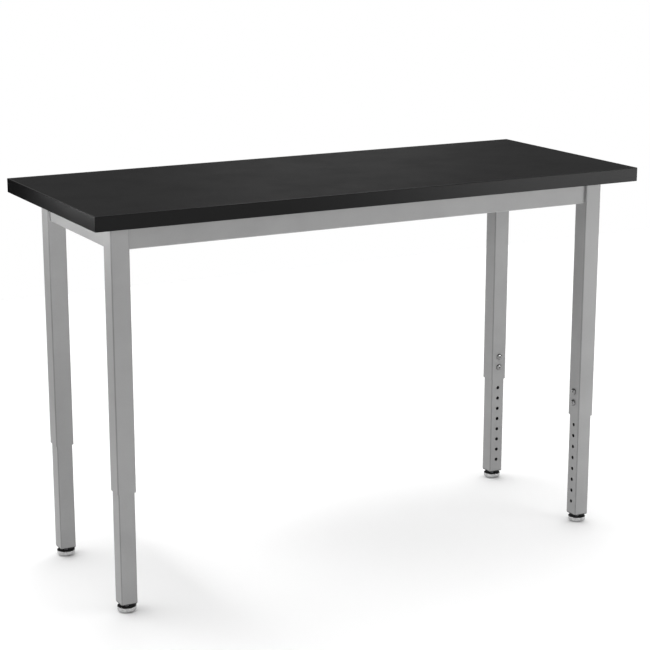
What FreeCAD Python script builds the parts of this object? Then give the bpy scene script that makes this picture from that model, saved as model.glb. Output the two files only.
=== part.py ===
"""Science lab table: a laminate top on a welded steel frame with four telescoping legs.

Millimetres. +X runs along the table, +Y to its back, +Z up; the origin is on the floor under its middle.
"""
import FreeCAD
import Part
import Sketcher
import math
import os
import re

Vector = FreeCAD.Vector
Rotation = FreeCAD.Rotation

# Driving dimensions: name, size, what it is.
SIZES = (
    ("table_height", 800.1, "floor to working surface, legs set as photographed"),
    ("top_length", 1219.2, "length of the top over its edge bands"),
    ("top_depth", 495.3, "depth of the top over its edge bands"),
    ("top_thick", 28.6, "thickness of the whole top"),
    ("laminate_thick", 1.2, "chemical-resistant laminate"),
    ("backer_thick", 0.8, "balancing sheet under the core"),
    ("band_thick", 3.0, "edge band"),
    ("band_arris", 0.8, "rounding along the edge band's outer edges"),
    ("band_corner", 2.0, "rounding of the top's upright corners"),
    ("end_overhang", 50.8, "top's end to the upper leg's outer face"),
    ("side_overhang", 57.15, "top's long side to the upper leg's outer face"),
    ("sleeve_side", 38.1, "upper leg, outer side"),
    ("sleeve_wall", 1.9, "upper leg, wall"),
    ("sleeve_round", 3.0, "upper leg, outer corner radius"),
    ("slide_clearance", 0.35, "gap on each side between upper and lower leg"),
    ("leg_wall", 1.6, "lower leg, wall"),
    ("leg_round", 2.6, "lower leg, outer corner radius"),
    ("rail_height", 50.8, "rail section, height"),
    ("rail_width", 25.4, "rail section, width"),
    ("rail_wall", 1.5, "rail section, wall"),
    ("rail_round", 2.5, "rail section, outer corner radius"),
    ("hole_pitch", 25.4, "distance between adjustment holes"),
    ("hole_bore", 7.9, "adjustment hole"),
    ("steps_lower", 9, "hole steps that the table can go down from here"),
    ("steps_higher", 3, "hole steps that the table can go up from here"),
    ("screws_per_leg", 2, "screws that hold each leg"),
    ("end_margin", 28.0, "lower leg's end to its lowest hole"),
    ("head_margin", 25.0, "highest hole to the lower leg's upper end"),
    ("sleeve_margin", 29.6, "upper leg's end to its lower screw"),
    ("leg_screw_shank", 6.0, "leg screw, diameter"),
    ("leg_screw_length", 10.0, "leg screw, length under the head"),
    ("leg_screw_head", 14.0, "leg screw, pan head diameter"),
    ("leg_screw_head_height", 3.8, "leg screw, pan head height"),
    ("leg_screw_head_side", 1.5, "leg screw, straight side of the head"),
    ("plate_leg", 72.0, "corner plate, length along each rail"),
    ("plate_blunt", 14.0, "corner plate, width of its cut tips"),
    ("plate_thick", 2.5, "corner plate"),
    ("plate_gap", 0.6, "corner plate's notch to the upper leg"),
    ("plate_hole_along", 48.0, "corner plate, screw hole along one rail"),
    ("plate_hole_in", 16.0, "corner plate, screw hole in from that rail"),
    ("plate_hole_bore", 5.6, "corner plate, screw hole"),
    ("top_screw_shank", 4.8, "wood screw, diameter"),
    ("top_screw_length", 22.0, "wood screw, length under the head"),
    ("top_screw_head", 9.4, "wood screw, pan head diameter"),
    ("top_screw_head_height", 3.2, "wood screw, pan head height"),
    ("top_screw_head_side", 1.2, "wood screw, straight side of the head"),
    ("pilot_clearance", 0.05, "gap round the wood screw in its pilot hole"),
    ("foot_height", 19.0, "floor to the lower leg's end"),
    ("cup_diameter", 38.1, "glide cup, outer diameter"),
    ("cup_height", 11.0, "glide cup, height"),
    ("cup_wall", 1.2, "glide cup, wall"),
    ("cup_round", 5.0, "glide cup, radius round its foot"),
    ("cushion_gap", 0.1, "cushion to cup"),
    ("cushion_recess", 1.4, "cushion's face below the cup's rim"),
    ("swivel_clearance", 0.3, "gap between the stem and the cushion that turns on it"),
    ("stem_diameter", 7.9, "glide stem"),
    ("stem_flange", 16.0, "glide stem, diameter of its foot flange"),
    ("stem_flange_thick", 2.5, "glide stem, foot flange"),
    ("stem_reach", 22.0, "glide stem, reach above the lower leg's end"),
    ("stem_chamfer", 1.0, "glide stem, chamfer at its end"),
    ("thread_clearance", 0.15, "gap between the stem and the nut, in place of a thread"),
    ("insert_flange", 2.0, "leg insert, flange under the lower leg's end"),
    ("insert_flange_inset", 0.5, "leg insert, flange in from the leg's outer face"),
    ("insert_depth", 20.0, "leg insert, depth inside the leg"),
    ("insert_gap", 0.1, "leg insert to the leg's inner face"),
    ("insert_bore_gap", 0.4, "leg insert to the stem"),
    ("nut_flats", 12.7, "insert nut, across flats"),
    ("nut_height", 6.8, "insert nut, height"),
    ("nut_gap", 0.1, "insert nut to its pocket"),
)

# What follows from the driving dimensions.
DERIVED = (
    ("top_underside", "table_height - top_thick"),
    ("core_length", "top_length - 2 * band_thick"),
    ("core_depth", "top_depth - 2 * band_thick"),
    ("core_thick", "top_thick - laminate_thick - backer_thick"),
    ("leg_x", "top_length / 2 - end_overhang - sleeve_side / 2"),
    ("leg_y", "top_depth / 2 - side_overhang - sleeve_side / 2"),
    ("leg_side", "sleeve_side - 2 * (sleeve_wall + slide_clearance)"),
    ("rail_run_x", "2 * leg_x - sleeve_side"),
    ("rail_run_y", "2 * leg_y - sleeve_side"),
    ("hole_count", "steps_lower + steps_higher + screws_per_leg"),
    ("hole_row", "(hole_count - 1) * hole_pitch"),
    ("leg_length", "end_margin + hole_row + head_margin"),
    ("screw_height", "foot_height + end_margin + steps_lower * hole_pitch"),
    ("sleeve_end", "screw_height - sleeve_margin"),
    ("sleeve_length", "top_underside - sleeve_end"),
    ("screw_row", "(screws_per_leg - 1) * hole_pitch"),
    ("plate_height", "top_underside - plate_thick"),
    ("plate_x", "leg_x - rail_width / 2"),
    ("plate_y", "leg_y - rail_width / 2"),
    ("plate_notch", "(sleeve_side - rail_width) / 2 + plate_gap"),
    ("pilot_bore", "top_screw_shank + 2 * pilot_clearance"),
    ("pilot_depth", "top_screw_length - plate_thick - backer_thick + pilot_clearance"),
    ("cup_radius", "cup_diameter / 2"),
    ("cushion_radius", "cup_radius - cup_wall - cushion_gap"),
    ("cushion_floor", "cup_wall + cushion_gap"),
    ("cushion_round", "cup_round - cup_wall - cushion_gap"),
    ("stem_foot", "cup_wall + swivel_clearance"),
    ("stem_length", "foot_height + stem_reach - stem_foot"),
    ("insert_side", "leg_side - 2 * (leg_wall + insert_gap)"),
    ("insert_flange_side", "leg_side - 2 * insert_flange_inset"),
    ("insert_foot", "foot_height - insert_flange"),
)

# Corner, side along X, side along Y, quarter turns. The holes of an unturned leg face -X.
CORNERS = (
    ("front_right", 1, -1, 0),
    ("back_right", 1, 1, 1),
    ("back_left", -1, 1, 2),
    ("front_left", -1, -1, 3),
)
QUARTER = 90
TINY = 1e-3
NAMES = {row[0] for row in SIZES + DERIVED}

doc = FreeCAD.newDocument("lab_table")
sheet = doc.addObject("Spreadsheet::Sheet", "sizes")
pieces = []


def fill_sheet():
    """Write the driving dimensions as numbers and the others as formulas, each under its name."""
    rows = [(name, str(size), note) for name, size, note in SIZES]
    rows += [(name, "=" + words, "") for name, words in DERIVED]
    for line, (name, content, note) in enumerate(rows, start=1):
        sheet.set("A%d" % line, name)
        sheet.set("B%d" % line, content)
        sheet.set("C%d" % line, note)
        sheet.setAlias("B%d" % line, name)
    doc.recompute()


def formula(words):
    """An expression over the sheet's names, with each name in its full form."""
    return re.sub("[a-z_]+", lambda word: "sizes." + word[0] if word[0] in NAMES else word[0], words)


def number(words):
    """The present value of an expression over the sheet's names."""
    result = sheet.evalExpression(formula(words))
    return float(getattr(result, "Value", result))


def bind(item, prop, words):
    """Tie a property to an expression over the sheet's names."""
    item.setExpression(prop, formula(words))


def place(item, x="0", y="0", z="0", rotation=Rotation()):
    """Stand an item at a place that follows the sheet."""
    item.Placement = FreeCAD.Placement(Vector(), rotation)
    for axis, words in (("x", x), ("y", y), ("z", z)):
        bind(item, "Placement.Base." + axis, words)


def turned(quarters):
    """A turn about Z by so many quarters."""
    return Rotation(Vector(0, 0, 1), quarters * QUARTER)


def hole_side(quarters):
    """The direction that the holes of a leg face, as whole numbers along X and Y."""
    angle = math.radians(quarters * QUARTER)
    return -round(math.cos(angle)), -round(math.sin(angle))


def piece(item):
    """Count an item as a piece of the table."""
    pieces.append(item)
    return item


def new_body(label):
    body = doc.addObject("PartDesign::Body", label)
    body.Label = label
    return body


def new_sketch(body, plane):
    sketch = body.newObject("Sketcher::SketchObject", body.Name + "_sketch")
    support = [face for face in body.Origin.OriginFeatures if face.Role == plane][0]
    sketch.AttachmentSupport = [(support, "")]
    sketch.MapMode = "FlatFace"
    return sketch


def dimension(sketch, constraint, words):
    """Add a driving constraint that follows an expression."""
    index = sketch.addConstraint(constraint)
    bind(sketch, "Constraints[%d]" % index, words)


def fix_point(sketch, item, end, x, y):
    """Hold a sketch point at expressions x and y, each of which may start with a minus sign."""
    for kind, words, axis in (("DistanceX", x, -2), ("DistanceY", y, -1)):
        size = number(words)
        if words == "0":
            sketch.addConstraint(Sketcher.Constraint("PointOnObject", item, end, axis))
        elif words.startswith("-"):
            dimension(sketch, Sketcher.Constraint(kind, item, end, -1, 1, -size), words[1:])
        else:
            dimension(sketch, Sketcher.Constraint(kind, -1, 1, item, end, size), words)


def arc_between(start, end, radius):
    """The quarter arc that runs anticlockwise from start to end."""
    chord = end - start
    rise = math.sqrt(radius ** 2 - (chord.Length / 2) ** 2)
    side = Vector(-chord.y, chord.x, 0).normalize()
    centre = (start + end) / 2 + side * rise
    angles = [math.atan2(point.y - centre.y, point.x - centre.x) for point in (start, end)]
    return Part.ArcOfCircle(Part.Circle(centre, Vector(0, 0, 1), radius), *angles)


def outline(sketch, points):
    """A closed outline through points (x, y), or (x, y, radius, turn) where an arc arrives there.

    The turn is 1 for an arc that runs anticlockwise and -1 for a clockwise one.
    """
    places = [Vector(number(point[0]), number(point[1]), 0) for point in points]
    starts, ends = [], []
    for index, point in enumerate(points):
        here, before = places[index], places[index - 1]
        if len(point) == 2:
            item = sketch.addGeometry(Part.LineSegment(before, here))
            start, end = (item, 1), (item, 2)
        else:
            radius, turn = point[2:]
            first, last = (before, here) if turn > 0 else (here, before)
            item = sketch.addGeometry(arc_between(first, last, number(radius)))
            start, end = ((item, 1), (item, 2)) if turn > 0 else ((item, 2), (item, 1))
            dimension(sketch, Sketcher.Constraint("Radius", item, number(radius)), radius)
        starts.append(start)
        ends.append(end)
    for index, point in enumerate(points):
        following = starts[(index + 1) % len(points)]
        sketch.addConstraint(Sketcher.Constraint("Coincident", *ends[index], *following))
        fix_point(sketch, *ends[index], point[0], point[1])


def rectangle(sketch, width, height):
    """A rectangle about the sketch's origin."""
    x, y = "(%s) / 2" % width, "(%s) / 2" % height
    outline(sketch, [("-" + x, "-" + y), (x, "-" + y), (x, y), ("-" + x, y)])


def rounded_rectangle(sketch, width, height, radius):
    """A rectangle with round corners about the sketch's origin."""
    x, y = "(%s) / 2" % width, "(%s) / 2" % height
    near_x, near_y = "(%s - (%s))" % (x, radius), "(%s - (%s))" % (y, radius)
    outline(sketch, [
        (near_x, "-" + y), (x, "-" + near_y, radius, 1),
        (x, near_y), (near_x, y, radius, 1),
        ("-" + near_x, y), ("-" + x, near_y, radius, 1),
        ("-" + x, "-" + near_y), ("-" + near_x, "-" + y, radius, 1),
    ])


def circle(sketch, x, y, diameter):
    start = Part.Circle(Vector(number(x), number(y), 0), Vector(0, 0, 1), number(diameter) / 2)
    item = sketch.addGeometry(start)
    fix_point(sketch, item, 3, x, y)
    dimension(sketch, Sketcher.Constraint("Diameter", item, number(diameter)), diameter)


def hexagon(sketch, flats):
    """A hexagon about the sketch's origin, with two corners on its X axis."""
    corner = "(%s) / sqrt(3)" % flats
    side = "(%s) / 2" % flats
    outline(sketch, [
        (corner, "0"), (corner + " / 2", side), ("-" + corner + " / 2", side),
        ("-" + corner, "0"), ("-" + corner + " / 2", "-" + side), (corner + " / 2", "-" + side),
    ])


def pad(body, sketch, length, midplane=False):
    feature = body.newObject("PartDesign::Pad", body.Name + "_pad")
    feature.Profile = sketch
    bind(feature, "Length", length)
    feature.Midplane = midplane
    doc.recompute()
    return feature


def pocket(body, sketch, depth, backwards=False):
    """Cut a sketch into a body; a cut that takes nothing away is an error."""
    doc.recompute()
    before = body.Shape.Volume
    feature = body.newObject("PartDesign::Pocket", body.Name + "_pocket")
    feature.Profile = sketch
    bind(feature, "Length", depth)
    feature.Reversed = backwards
    doc.recompute()
    if body.Shape.Volume >= before:
        raise RuntimeError("%s cuts nothing" % feature.Name)
    return feature


def repeat(body, feature, sketch, length, count):
    """Repeat a feature along the sketch's upright axis."""
    pattern = body.newObject("PartDesign::LinearPattern", body.Name + "_row")
    pattern.Originals = [feature]
    pattern.Direction = (sketch, ["V_Axis"])
    bind(pattern, "Length", length)
    bind(pattern, "Occurrences", count)
    body.Tip = pattern
    doc.recompute()


def revolve(label, points):
    """A round piece: an outline of (radius, height) points turned about its Z axis."""
    body = new_body(label)
    sketch = new_sketch(body, "XZ_Plane")
    outline(sketch, points)
    feature = body.newObject("PartDesign::Revolution", body.Name + "_turn")
    feature.Profile = sketch
    feature.ReferenceAxis = (sketch, ["V_Axis"])
    feature.Angle = 360
    doc.recompute()
    return body


def round_edges(body, radius, chosen):
    """Round the edges that pass a test."""
    names = ["Edge%d" % index for index, edge in enumerate(body.Shape.Edges, start=1) if chosen(edge)]
    base = body.Tip
    feature = body.newObject("PartDesign::Fillet", body.Name + "_round")
    feature.Base = (base, names)
    bind(feature, "Radius", radius)
    doc.recompute()


def tube(body, plane, width, height, wall, radius, length, midplane=False):
    """A hollow rectangular section padded along the plane's normal."""
    sketch = new_sketch(body, plane)
    rounded_rectangle(sketch, width, height, radius)
    inner = " - 2 * " + wall
    rounded_rectangle(sketch, width + inner, height + inner, "%s - %s" % (radius, wall))
    pad(body, sketch, length, midplane)


def holed_tube(label, side, wall, radius, length, first_hole, row, count):
    """An upright square tube with a row of holes through its -X wall."""
    body = new_body(label)
    tube(body, "XY_Plane", side, side, wall, radius, length)
    sketch = new_sketch(body, "YZ_Plane")
    circle(sketch, "0", first_hole, "hole_bore")
    hole = pocket(body, sketch, side)
    repeat(body, hole, sketch, row, count)
    return piece(body)


def pan_screw(label, kind):
    """A pan head screw that stands on its tip."""
    shank, length = kind + "_shank / 2", kind + "_length"
    head, height, side = kind + "_head / 2", kind + "_head_height", kind + "_head_side"
    crown = "(%s - %s)" % (height, side)
    return revolve(label, [
        ("0", "0"), (shank, "0"), (shank, length), (head, length), (head, length + " + " + side),
        (head + " - " + crown, length + " + " + height, crown, 1), ("0", length + " + " + height),
    ])


def group(label, items):
    """Like fasteners as one piece of separate solids."""
    compound = doc.addObject("Part::Compound", label)
    compound.Label = label
    compound.Links = items
    doc.recompute()
    return piece(compound)


def plate_holes():
    """The screw places on a corner plate: along one rail and in from it, then the other way round."""
    return ("plate_hole_along", "plate_hole_in"), ("plate_hole_in", "plate_hole_along")


def signed(side, words):
    """An expression for one side of the table or the other."""
    return words if side > 0 else "-" + words


def pilot_holes(body, depth):
    """Holes for the wood screws, cut up from the underside of a sheet of the top."""
    sketch = new_sketch(body, "XY_Plane")
    for _, side_x, side_y, _ in CORNERS:
        for along, across in plate_holes():
            x = signed(side_x, "(plate_x - %s)" % along)
            y = signed(side_y, "(plate_y - %s)" % across)
            circle(sketch, x, y, "pilot_bore")
    pocket(body, sketch, depth, backwards=True)


def sheet_piece(label, thick, height):
    """A rectangular sheet of the top."""
    body = new_body(label)
    sketch = new_sketch(body, "XY_Plane")
    rectangle(sketch, "core_length", "core_depth")
    pad(body, sketch, thick)
    place(body, z=height)
    return piece(body)


def make_top():
    """Core, laminate and backer, with an edge band on each side."""
    backer = sheet_piece("top_backer", "backer_thick", "top_underside")
    pilot_holes(backer, "backer_thick")
    core = sheet_piece("top_core", "core_thick", "top_underside + backer_thick")
    pilot_holes(core, "pilot_depth")
    sheet_piece("top_laminate", "laminate_thick", "table_height - laminate_thick")
    long_x, long_y = "core_length / 2", "core_depth / 2"
    edge_band("edge_band_front", "top_length", "0", "-" + long_y, 0, True)
    edge_band("edge_band_right", "core_depth", long_x, "0", 1, False)
    edge_band("edge_band_back", "top_length", "0", long_y, 2, True)
    edge_band("edge_band_left", "core_depth", "-" + long_x, "0", 3, False)


def edge_band(label, length, x, y, quarters, round_corners):
    """A strip with rounded outer edges; the long strips also turn the corners of the top."""
    body = new_body(label)
    sketch = new_sketch(body, "XY_Plane")
    end, outer = length + " / 2", "-band_thick"
    if round_corners:
        turn_x, turn_y = "(%s - band_corner)" % end, "-(band_thick - band_corner)"
        outline(sketch, [
            ("-" + end, "0"), ("-" + end, turn_y), ("-" + turn_x, outer, "band_corner", 1),
            (turn_x, outer), (end, turn_y, "band_corner", 1), (end, "0"),
        ])
    else:
        outline(sketch, [("-" + end, "0"), ("-" + end, outer), (end, outer), (end, "0")])
    pad(body, sketch, "top_thick")

    def on_outside(edge):
        middle = edge.CenterOfMass
        return edge.BoundBox.ZLength < TINY and middle.y < -TINY and (round_corners or abs(middle.x) < TINY)

    round_edges(body, "band_arris", on_outside)
    place(body, x, y, "top_underside", turned(quarters))
    return piece(body)


def make_rails():
    """Four rails, centred on the legs and butted against them."""
    height = "top_underside - rail_height / 2"
    sides = (
        ("rail_front", "rail_run_x", "0", "-leg_y", 0),
        ("rail_right", "rail_run_y", "leg_x", "0", 1),
        ("rail_back", "rail_run_x", "0", "leg_y", 0),
        ("rail_left", "rail_run_y", "-leg_x", "0", 1),
    )
    for label, length, x, y, quarters in sides:
        body = new_body(label)
        tube(body, "YZ_Plane", "rail_width", "rail_height", "rail_wall", "rail_round", length, True)
        place(body, x, y, height, turned(quarters))
        piece(body)


def make_corner_plate(corner, side_x, side_y, quarters):
    """A notched triangular plate inside a corner of the frame, with two screw holes."""
    body = new_body("corner_plate_" + corner)
    sketch = new_sketch(body, "XY_Plane")
    outline(sketch, [
        ("plate_notch", "0"), ("plate_leg", "0"), ("plate_leg", "plate_blunt"),
        ("plate_blunt", "plate_leg"), ("0", "plate_leg"), ("0", "plate_notch"),
        ("plate_notch", "plate_notch"),
    ])
    for along, across in plate_holes():
        circle(sketch, along, across, "plate_hole_bore")
    pad(body, sketch, "plate_thick")
    x, y = signed(side_x, "plate_x"), signed(side_y, "plate_y")
    place(body, x, y, "plate_height", turned(quarters + 1))
    piece(body)


def make_top_screws():
    """The wood screws through all the corner plates, heads down."""
    screws = []
    for corner, side_x, side_y, _ in CORNERS:
        for index, (along, across) in enumerate(plate_holes(), start=1):
            screw = pan_screw("top_screw_%s_%d" % (corner, index), "top_screw")
            x = signed(side_x, "(plate_x - %s)" % along)
            y = signed(side_y, "(plate_y - %s)" % across)
            place(screw, x, y, "plate_height + top_screw_length", Rotation(Vector(1, 0, 0), 180))
            screws.append(screw)
    group("top_screws", screws)


def make_leg_screws(corner, side_x, side_y, quarters):
    """The screws that hold one lower leg in its upper leg."""
    face_x, face_y = hole_side(quarters)
    outward = Rotation(Vector(0, 0, 1), Vector(face_x, face_y, 0))
    seat = "(sleeve_side / 2 - leg_screw_length)"
    screws = []
    for index in range(int(number("screws_per_leg"))):
        screw = pan_screw("leg_screw_%s_%d" % (corner, index + 1), "leg_screw")
        x = "%d * leg_x + %d * %s" % (side_x, face_x, seat)
        y = "%d * leg_y + %d * %s" % (side_y, face_y, seat)
        place(screw, x, y, "screw_height + %d * hole_pitch" % index, outward)
        screws.append(screw)
    group("leg_screws_" + corner, screws)


def make_leg_insert(corner):
    """The plug in the end of a lower leg, with a pocket for its nut and a bore for the stem."""
    body = new_body("leg_insert_" + corner)
    flange = new_sketch(body, "XY_Plane")
    rounded_rectangle(flange, "insert_flange_side", "insert_flange_side", "leg_round")
    pad(body, flange, "insert_flange")
    plug = new_sketch(body, "XY_Plane")
    rounded_rectangle(plug, "insert_side", "insert_side", "leg_round - leg_wall")
    pad(body, plug, "insert_flange + insert_depth")
    bore = new_sketch(body, "XY_Plane")
    circle(bore, "0", "0", "stem_diameter + 2 * insert_bore_gap")
    pocket(body, bore, "insert_flange + insert_depth", backwards=True)
    seat = new_sketch(body, "XY_Plane")
    hexagon(seat, "nut_flats + 2 * nut_gap")
    pocket(body, seat, "nut_height", backwards=True)
    return piece(body)


def make_insert_nut(corner):
    body = new_body("insert_nut_" + corner)
    sketch = new_sketch(body, "XY_Plane")
    hexagon(sketch, "nut_flats")
    circle(sketch, "0", "0", "stem_diameter + 2 * thread_clearance")
    pad(body, sketch, "nut_height")
    return piece(body)


def make_glide(corner):
    """Stem, cup and cushion of a levelling glide, each with its height on the leg's axis."""
    stem = revolve("glide_stem_" + corner, [
        ("0", "0"), ("stem_flange / 2", "0"), ("stem_flange / 2", "stem_flange_thick"),
        ("stem_diameter / 2", "stem_flange_thick"),
        ("stem_diameter / 2", "stem_length - stem_chamfer"),
        ("stem_diameter / 2 - stem_chamfer", "stem_length"), ("0", "stem_length"),
    ])
    inside, heel = "cup_radius - cup_wall", "cup_radius - cup_round"
    cup = revolve("glide_cup_" + corner, [
        ("0", "0"), (heel, "0"), ("cup_radius", "cup_round", "cup_round", 1),
        ("cup_radius", "cup_height - cup_wall"), (inside, "cup_height", "cup_wall", 1),
        (inside, "cup_round"), (heel, "cup_wall", "cup_round - cup_wall", -1), ("0", "cup_wall"),
    ])
    hollow = "stem_flange / 2 + swivel_clearance"
    roof = "stem_foot + stem_flange_thick + swivel_clearance"
    neck = "stem_diameter / 2 + swivel_clearance"
    cushion = revolve("glide_cushion_" + corner, [
        (hollow, "cushion_floor"), (heel, "cushion_floor"),
        ("cushion_radius", "cup_round", "cushion_round", 1),
        ("cushion_radius", "cup_height - cushion_recess"), (neck, "cup_height - cushion_recess"),
        (neck, roof), (hollow, roof),
    ])
    return (stem, "stem_foot"), (cup, "0"), (cushion, "0")


def make_leg(corner, side_x, side_y, quarters):
    """One telescoping leg with its screws and its levelling glide."""
    upper = holed_tube("upper_leg_" + corner, "sleeve_side", "sleeve_wall", "sleeve_round",
                       "sleeve_length", "sleeve_margin", "screw_row", "screws_per_leg")
    lower = holed_tube("lower_leg_" + corner, "leg_side", "leg_wall", "leg_round",
                       "leg_length", "end_margin", "hole_row", "hole_count")
    make_leg_screws(corner, side_x, side_y, quarters)
    on_axis = [(upper, "sleeve_end"), (lower, "foot_height")]
    on_axis.append((make_leg_insert(corner), "insert_foot"))
    on_axis.append((make_insert_nut(corner), "insert_foot"))
    for item, height in make_glide(corner):
        on_axis.append((piece(item), height))
    for item, height in on_axis:
        place(item, "%d * leg_x" % side_x, "%d * leg_y" % side_y, height, turned(quarters))


def check_pieces():
    """Stop if anything failed to build."""
    doc.recompute()
    for item in doc.Objects:
        if "Invalid" in item.State or "Error" in item.State:
            raise RuntimeError("%s: %s" % (item.Name, item.State))
    for item in pieces:
        if item.Shape.isNull() or not item.Shape.isValid() or not item.Shape.Solids:
            raise RuntimeError("%s has no valid shape" % item.Label)


def main():
    fill_sheet()
    make_top()
    make_rails()
    for corner in CORNERS:
        make_corner_plate(*corner)
        make_leg(*corner)
    make_top_screws()
    check_pieces()
    os.makedirs("parts", exist_ok=True)
    for item in pieces:
        item.Shape.exportStep("parts/%s.step" % item.Label)
    print("%d pieces" % len(pieces))


main()
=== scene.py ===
"""Science lab table, dressed: finishes for every piece, cross-recessed screws, threads and welds."""
import math

import bmesh
import bpy
from bpy.props import FloatProperty, FloatVectorProperty, PointerProperty
from mathutils import Matrix, Vector


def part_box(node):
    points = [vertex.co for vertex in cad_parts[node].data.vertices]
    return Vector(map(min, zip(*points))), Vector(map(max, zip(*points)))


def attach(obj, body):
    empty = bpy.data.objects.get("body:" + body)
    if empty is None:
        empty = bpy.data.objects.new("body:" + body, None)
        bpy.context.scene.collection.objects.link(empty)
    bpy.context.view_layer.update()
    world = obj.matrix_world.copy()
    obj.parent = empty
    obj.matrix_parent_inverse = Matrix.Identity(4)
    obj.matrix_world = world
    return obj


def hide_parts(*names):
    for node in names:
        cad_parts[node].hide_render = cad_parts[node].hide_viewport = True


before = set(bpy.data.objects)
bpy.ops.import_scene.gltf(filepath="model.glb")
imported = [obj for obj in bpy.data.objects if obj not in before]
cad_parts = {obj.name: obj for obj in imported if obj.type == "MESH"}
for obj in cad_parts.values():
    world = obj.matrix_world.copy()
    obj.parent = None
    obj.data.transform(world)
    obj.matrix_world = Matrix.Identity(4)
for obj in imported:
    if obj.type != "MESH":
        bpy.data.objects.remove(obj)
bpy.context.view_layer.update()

bl_info = {
    "name": "Science Lab Table",
    "version": (1, 0, 0),
    "blender": (4, 5, 0),
    "location": "View3D > Sidebar > Lab Table",
    "description": "Dresses a science lab table with finishes, screws, threads and welds",
    "category": "Object",
}

# Meshes: how near counts as level, how near is merged, how upright the normal of a level face is,
# how many sides a round piece has and up to which angle its faces are shaded smooth.
TINY = 1e-5
MERGE_DISTANCE = 1e-6
UPRIGHT = 0.9
ROUND_SIDES = 48
SMOOTH_ANGLE = math.radians(35)
# Threads: steps in a turn, and half of the ridge's base as a share of the pitch.
THREAD_STEPS = 24
RIDGE_HALF = 0.43
# Pan heads: rings of the dome, and the angle at which it ends in a small flat.
DOME_RINGS = 9
DOME_END = math.radians(84)
# Screws: root radius as a share of the thread's diameter, and the eased rim under the head in metres.
SCREW_ROOT = 0.41
HEAD_EASE = 0.0002
# Screw tips: length as a share of the shank, and width of the end as a share of the root.
SHARP_TIP = (0.25, 0.08)
BLUNT_TIP = (0.08, 0.75)
# Cross recess: length and width as shares of the head, depth as a share of its height, and its taper.
CROSS_WING = 0.54
CROSS_WIDTH = 0.115
CROSS_DEPTH = 0.62
CROSS_TAPER = (0.35, 0.55, 1.0)
# Glide stems: root radius as a share of the thread's diameter, eased rim of the flange and length of the
# tip in metres, and width of the tip's end as a share of the root.
STEM_ROOT = 0.43
FLANGE_EASE = 0.0004
STEM_TIP = 0.001
STEM_TIP_WIDTH = 0.7
# Weld beads: sides, fewest ripples, how far the ripples swell and the ends shrink, and the lengths of the
# beads below and inside as shares of the rail's width and height.
WELD_SIDES = 10
WELD_RIPPLES = 4
WELD_SWELL = 1.16
WELD_END = 0.55
WELD_BELOW = 0.78
WELD_INSIDE = 0.86
# The corner mask above which a surface counts as part of a tube's round corner.
ROUND_CORNER = 0.3

# The studio floor ends some way left of and behind the table, so that the left edge band reflects
# less of it.
FLOOR_SIZE = 90.0
FLOOR_LEFT = -1.9
FLOOR_BACK = 2.5
# Overhead light: the way that it comes from, and how wide it looks.
OVERHEAD_FROM = (0, 0.4, 1)
OVERHEAD_ANGLE = math.radians(90)
# Light panels: place, target, width and height.
PANELS = {
    "left_panel": ((-0.78, 0, 0.8), (-0.56, 0, 0.84), 0.6, 0.08),
    "band_panel": ((-1.0, 0.72, 0.6), (-0.61, -0.25, 0.79), 0.22, 0.12),
    "low_panel": ((-0.91, 0, 0.07), (-0.56, 0, 0.07), 0.7, 0.1),
    "right_panel": ((1.65, -1.7, 0.6), (0.4, -0.2, 0.66), 1.2, 0.5),
    "front_panel": ((-0.6, -4.5, 1.3), (0, -0.2, 0.5), 2.4, 2.4),
    "back_panel": ((1.72, 3.2, 1.38), (0, 0, 0.8), 1.0, 0.6),
    "under_panel": ((-0.4, 0, 0.4), (0.5, 0, 0.45), 0.5, 0.5),
}
# Surround: how far below the horizon it fades out, and the strength of the backdrop that the camera sees.
HORIZON_FADE = 0.02
BACKDROP = 1.0
# The camera, fitted to the corners of the top.
CAMERA_PLACE = (-1.72415, -3.20215, 1.37806)
CAMERA_TURN = (1.327382, 0.0, -0.492146)
CAMERA_LENS = 97.969
CAMERA_SENSOR = 36.0
CAMERA_REACH = 200.0

# Corner: side along X, side along Y, and the way that its leg's holes and screws face.
CORNERS = {
    "front_right": (1, -1, Vector((-1, 0, 0))),
    "back_right": (1, 1, Vector((0, -1, 0))),
    "back_left": (-1, 1, Vector((1, 0, 0))),
    "front_left": (-1, -1, Vector((0, 1, 0))),
}
# Rail: the way that it runs, and the way from it to the middle of the table.
RAILS = {
    "rail_front": (Vector((1, 0, 0)), Vector((0, 1, 0))),
    "rail_back": (Vector((1, 0, 0)), Vector((0, -1, 0))),
    "rail_left": (Vector((0, 1, 0)), Vector((1, 0, 0))),
    "rail_right": (Vector((0, 1, 0)), Vector((-1, 0, 0))),
}
# How far each screw happens to be turned, in degrees.
SCREW_TURNS = (12, 50, 33, 71, 5, 62, 40, 81)


def length(name, default, description):
    """A size in metres that a user may change."""
    return FloatProperty(name=name, description=description, default=default, min=0.0, precision=5,
                         unit="LENGTH", subtype="DISTANCE")


def colour(name, default, description):
    """A colour that a user may change."""
    return FloatVectorProperty(name=name, description=description, default=default, size=3, min=0.0,
                               max=1.0, subtype="COLOR")


def power(name, default, description):
    """The strength of a light."""
    return FloatProperty(name=name, description=description, default=default, min=0.0)


def span(node, axis):
    """How far a node reaches along one axis, in metres."""
    low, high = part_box(node)
    return high[axis] - low[axis]


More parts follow.
